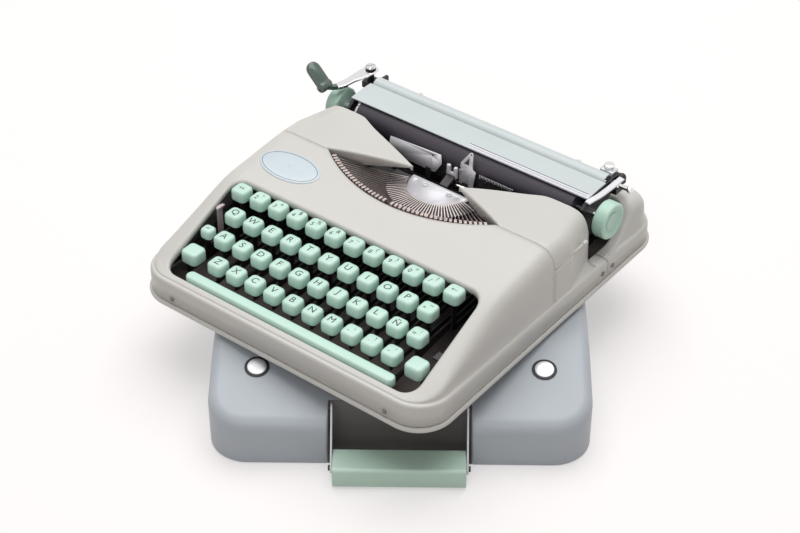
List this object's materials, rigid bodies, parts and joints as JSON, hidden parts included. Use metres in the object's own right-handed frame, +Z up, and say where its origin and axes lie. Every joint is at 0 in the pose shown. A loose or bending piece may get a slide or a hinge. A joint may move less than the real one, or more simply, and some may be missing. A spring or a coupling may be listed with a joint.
{
  "type": "typewriter",
  "caption": "Flat portable manual typewriter with mint keys and a grey housing, standing turned on its own blue-grey carrying lid",
  "frame": {"origin": "centre of the carrying lid on the surface it stands on", "axes": "+Z up; the machine's keyboard faces -Y and its carriage runs along X; the lid under it is turned 37 degrees anticlockwise seen from above"},
  "size_m": [0.4002, 0.406, 0.1525],
  "materials": {
    "lid_paint": "blue-grey enamel, satin",
    "housing_paint": "warm light grey hammer enamel, satin",
    "base_paint": "warm grey enamel, satin",
    "inner_black": "black japan, satin",
    "rubber_black": "matt",
    "key_plastic": "moulded, satin",
    "knob_plastic": "moulded, satin",
    "handle_plastic": "moulded, satin",
    "badge_enamel": "satin enamel",
    "bright_steel": "ground and plated",
    "chrome": "polished",
    "alloy": "milled",
    "dark_steel": "oiled",
    "felt": "pressed felt",
    "ribbon_cloth": "inked cotton",
    "table_paint": "pale blue-grey enamel, satin",
    "lever_plastic": "dark green, glossy",
    "tab_plastic": "satin",
    "bell_steel": "plated"
  },
  "bodies": {
    "case_lid": {"case_lid": "lid_paint", "lid_button_rings": "inner_black"},
    "lid_button_left": {"lid_button_left": "chrome"},
    "lid_button_right": {"lid_button_right": "chrome"},
    "carry_handle": {"handle_grip": "handle_plastic", "handle_straps": "chrome"},
    "chassis": {"base_pan": "base_paint", "rubber_feet": "rubber_black", "front_housing": "housing_paint", "rear_shell": "housing_paint", "housing_screws": "bright_steel", "nameplate": "badge_enamel", "main_frame": "inner_black", "key_lever_shaft": "dark_steel", "type_segment": "dark_steel", "segment_plate": "alloy", "typebars": "bright_steel", "typebar_rest": "felt", "type_guide": "bright_steel", "card_holder": "bright_steel", "line_scale": "inner_black", "ink_ribbon": "ribbon_cloth", "bell": "bell_steel", "cover_hinge_pins": "bright_steel"},
    "cover_left": {"cover_left": "housing_paint"},
    "cover_right": {"cover_right": "housing_paint"},
    "ribbon_spool_left": {"ribbon_spool_left": "inner_black"},
    "ribbon_spool_right": {"ribbon_spool_right": "inner_black"},
    "number_row": {"number_row_caps": "key_plastic", "number_row_levers": "inner_black"},
    "q_row": {"q_row_caps": "key_plastic", "q_row_levers": "inner_black"},
    "a_row": {"a_row_caps": "key_plastic", "a_row_levers": "inner_black"},
    "z_row": {"z_row_caps": "key_plastic", "z_row_levers": "inner_black"},
    "margin_release_key": {"margin_release_key": "key_plastic"},
    "backspace_key": {"backspace_key": "key_plastic"},
    "shift_keys": {"shift_keys": "key_plastic"},
    "shift_lock_key": {"shift_lock_key": "key_plastic"},
    "space_bar": {"space_bar": "key_plastic"},
    "strike_key": {"strike_key": "key_plastic"},
    "strike_typebar": {"strike_typebar": "bright_steel"},
    "ribbon_vibrator": {"ribbon_vibrator": "bright_steel"},
    "colour_selector": {"colour_selector": "tab_plastic"},
    "touch_lever": {"touch_lever": "bright_steel"},
    "mainspring_drum": {"mainspring_drum": "dark_steel"},
    "shift_frame": {"shift_frame": "dark_steel"},
    "carriage": {"carriage_frame": "inner_black", "carriage_ends": "inner_black", "carriage_cover": "table_paint"},
    "paper_table": {"paper_table": "table_paint"},
    "platen": {"platen": "rubber_black", "platen_shaft": "dark_steel", "platen_knobs": "knob_plastic"},
    "feed_roller": {"feed_roller": "rubber_black"},
    "return_lever": {"return_lever": "chrome"},
    "margin_stop_left": {"margin_stop_left": "bright_steel"},
    "margin_stop_right": {"margin_stop_right": "bright_steel"},
    "carriage_release_lever": {"carriage_release_lever": "chrome"}
  },
  "joints": [
    {"name": "lift_off", "type": "slide", "parent": "case_lid", "child": "chassis", "axis": [0, 0, 1], "range_m": [0, 0.12]},
    {"name": "lid_button_left_press", "type": "slide", "parent": "case_lid", "child": "lid_button_left", "axis": [0, 0, -1], "range_m": [0, 0.003], "stiffness_N_per_m": 600, "springref_m": -0.001},
    {"name": "lid_button_right_press", "type": "slide", "parent": "case_lid", "child": "lid_button_right", "axis": [0, 0, -1], "range_m": [0, 0.003], "stiffness_N_per_m": 600, "springref_m": -0.001},
    {"name": "handle_swing", "type": "hinge", "parent": "case_lid", "child": "carry_handle", "pos_m": [0.08786, -0.1166, 0.044], "axis": [0.7986, 0.6018, 0], "range_deg": [-45, 0]},
    {"name": "cover_right_open", "type": "hinge", "parent": "chassis", "child": "cover_right", "pos_m": [0.1301, 0.0375, 0.112], "axis": [0, 1, 0], "range_deg": [0, 95]},
    {"name": "cover_left_open", "type": "hinge", "parent": "chassis", "child": "cover_left", "pos_m": [-0.1431, 0.0375, 0.112], "axis": [0, 1, 0], "range_deg": [-95, 0]},
    {"name": "number_row_press", "type": "hinge", "parent": "chassis", "child": "number_row", "pos_m": [-0.0065, 0.0095, 0.091], "axis": [1, 0, 0], "range_deg": [0, 6.73], "stiffness_Nm_per_rad": 2, "springref_deg": -6.88},
    {"name": "q_row_press", "type": "hinge", "parent": "chassis", "child": "q_row", "pos_m": [-0.0065, 0.0095, 0.091], "axis": [1, 0, 0], "range_deg": [0, 5.25], "stiffness_Nm_per_rad": 2, "springref_deg": -6.88},
    {"name": "a_row_press", "type": "hinge", "parent": "chassis", "child": "a_row", "pos_m": [-0.0065, 0.0095, 0.091], "axis": [1, 0, 0], "range_deg": [0, 4.29], "stiffness_Nm_per_rad": 2, "springref_deg": -6.88},
    {"name": "z_row_press", "type": "hinge", "parent": "chassis", "child": "z_row", "pos_m": [-0.0065, 0.0095, 0.091], "axis": [1, 0, 0], "range_deg": [0, 3.64], "stiffness_Nm_per_rad": 2, "springref_deg": -6.88},
    {"name": "margin_release_press", "type": "hinge", "parent": "chassis", "child": "margin_release_key", "pos_m": [-0.0065, 0.0095, 0.091], "axis": [1, 0, 0], "range_deg": [0, 6.73], "stiffness_Nm_per_rad": 0.5, "springref_deg": -8.59},
    {"name": "backspace_press", "type": "hinge", "parent": "chassis", "child": "backspace_key", "pos_m": [-0.0065, 0.0095, 0.091], "axis": [1, 0, 0], "range_deg": [0, 6.73], "stiffness_Nm_per_rad": 0.5, "springref_deg": -8.59},
    {"name": "shift_lock_press", "type": "hinge", "parent": "chassis", "child": "shift_lock_key", "pos_m": [-0.0065, 0.0095, 0.091], "axis": [1, 0, 0], "range_deg": [0, 4.29], "stiffness_Nm_per_rad": 0.5, "springref_deg": -8.59},
    {"name": "space_bar_press", "type": "hinge", "parent": "chassis", "child": "space_bar", "pos_m": [-0.0065, 0.0095, 0.091], "axis": [1, 0, 0], "range_deg": [0, 3.22], "stiffness_Nm_per_rad": 0.5, "springref_deg": -8.59},
    {"name": "strike_key_press", "type": "hinge", "parent": "chassis", "child": "strike_key", "pos_m": [-0.0065, 0.0095, 0.091], "axis": [1, 0, 0], "range_deg": [0, 4.29]},
    {"name": "shift_keys_press", "type": "hinge", "parent": "chassis", "child": "shift_keys", "pos_m": [-0.0065, 0.0095, 0.091], "axis": [1, 0, 0], "range_deg": [0, 3.64]},
    {"name": "strike_typebar_swing", "type": "hinge", "parent": "chassis", "child": "strike_typebar", "pos_m": [-0.00727, 0.03451, 0.107], "axis": [0.9995, -0.0306, 0], "range_deg": [-160, 0]},
    {"name": "ribbon_vibrator_lift", "type": "slide", "parent": "chassis", "child": "ribbon_vibrator", "axis": [0, 0, 1], "range_m": [0, 0.007]},
    {"name": "ribbon_spool_right_spin", "type": "hinge", "parent": "chassis", "child": "ribbon_spool_right", "pos_m": [0.0915, 0.0475, 0.101], "axis": [0, 0, 1], "continuous": true},
    {"name": "ribbon_spool_left_spin", "type": "hinge", "parent": "chassis", "child": "ribbon_spool_left", "pos_m": [-0.1045, 0.0475, 0.101], "axis": [0, 0, 1], "continuous": true},
    {"name": "colour_selector_turn", "type": "hinge", "parent": "chassis", "child": "colour_selector", "pos_m": [-0.126, -0.0745, 0.081], "axis": [1, 0, 0], "range_deg": [-6, 6]},
    {"name": "touch_lever_turn", "type": "hinge", "parent": "chassis", "child": "touch_lever", "pos_m": [0.113, -0.0985, 0.073], "axis": [1, 0, 0], "range_deg": [-8, 8]},
    {"name": "carriage_shift", "type": "slide", "parent": "chassis", "child": "shift_frame", "axis": [0, 0, 1], "range_m": [0, 0.006]},
    {"name": "carriage_travel", "type": "slide", "parent": "shift_frame", "child": "carriage", "axis": [1, 0, 0], "range_m": [-0.105, 0.105]},
    {"name": "mainspring_drum_spin", "type": "hinge", "parent": "chassis", "child": "mainspring_drum", "pos_m": [-0.0965, 0.1375, 0.069], "axis": [0, 0, 1], "range_deg": [-405, 405]},
    {"name": "paper_table_tilt", "type": "hinge", "parent": "carriage", "child": "paper_table", "pos_m": [-0.0065, 0.1155, 0.1304], "axis": [1, 0, 0], "range_deg": [-75, 0]},
    {"name": "platen_spin", "type": "hinge", "parent": "carriage", "child": "platen", "pos_m": [-0.0065, 0.0965, 0.113], "axis": [1, 0, 0], "continuous": true},
    {"name": "feed_roller_spin", "type": "hinge", "parent": "carriage", "child": "feed_roller", "pos_m": [-0.0065, 0.1075, 0.0974], "axis": [1, 0, 0], "continuous": true},
    {"name": "return_lever_pull", "type": "hinge", "parent": "carriage", "child": "return_lever", "pos_m": [-0.1325, 0.1265, 0.134], "axis": [0, 0, 1], "range_deg": [0, 25], "stiffness_Nm_per_rad": 0.2, "springref_deg": -11.46},
    {"name": "margin_stop_left_set", "type": "slide", "parent": "carriage", "child": "margin_stop_left", "axis": [1, 0, 0], "range_m": [-0.02, 0.06]},
    {"name": "margin_stop_right_set", "type": "slide", "parent": "carriage", "child": "margin_stop_right", "axis": [1, 0, 0], "range_m": [-0.06, 0.01]},
    {"name": "carriage_release_push", "type": "hinge", "parent": "carriage", "child": "carriage_release_lever", "pos_m": [0.116, 0.1255, 0.125], "axis": [0, 0, 1], "range_deg": [-15, 15]}
  ],
  "couplings": [
    {"joint": "ribbon_spool_left_spin", "follows": "ribbon_spool_right_spin", "ratio": 1},
    {"joint": "strike_key_press", "follows": "strike_typebar_swing", "ratio": -0.026812},
    {"joint": "ribbon_vibrator_lift", "follows": "strike_typebar_swing", "m_per_rad": -0.0025067},
    {"joint": "shift_keys_press", "follows": "carriage_shift", "rad_per_m": 10.588},
    {"joint": "feed_roller_spin", "follows": "platen_spin", "ratio": -4.2857},
    {"joint": "mainspring_drum_spin", "follows": "carriage_travel", "rad_per_m": 66.821}
  ]
}
